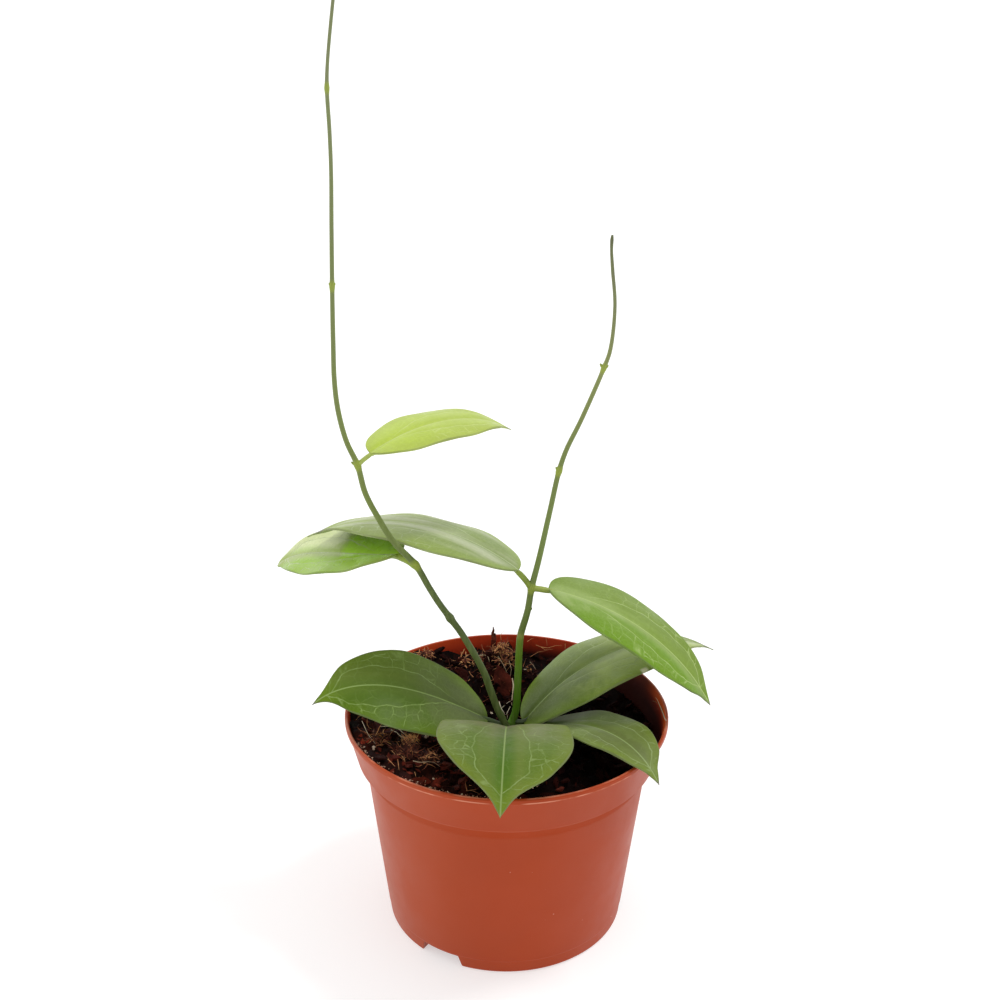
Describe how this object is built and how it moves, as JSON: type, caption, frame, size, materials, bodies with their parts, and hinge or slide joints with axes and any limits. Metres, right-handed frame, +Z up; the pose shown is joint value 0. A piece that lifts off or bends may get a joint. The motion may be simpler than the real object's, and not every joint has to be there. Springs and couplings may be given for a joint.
{
  "type": "potted hoya plant",
  "caption": "Young potted hoya: a round plastic nursery pot of potting mix with two slender bare-tipped vine stems and thick pointed oval leaves with pale veins.",
  "frame": {"origin": "on the pot's axis, at the underside of its foot", "axes": "+Z up along the pot's axis, -Y towards the pictured front, +X to the right as seen from the front"},
  "size_m": [0.1691, 0.1552, 0.345],
  "materials": {
    "pot_plastic": "satin",
    "potting_mix": "matte",
    "stem_green": "satin",
    "leaf_green": "satin",
    "young_leaf_green": "satin"
  },
  "bodies": {
    "root": {"pot": "pot_plastic", "potting_mix": "potting_mix", "stem_tall": "stem_green", "stem_short": "stem_green", "leaf_low_left": "leaf_green", "leaf_low_front": "leaf_green", "leaf_low_back": "leaf_green", "leaf_low_right": "leaf_green", "leaf_middle_right": "leaf_green", "leaf_middle_left": "leaf_green", "leaf_rear_left": "leaf_green", "leaf_young": "young_leaf_green"}
  },
  "joints": []
}
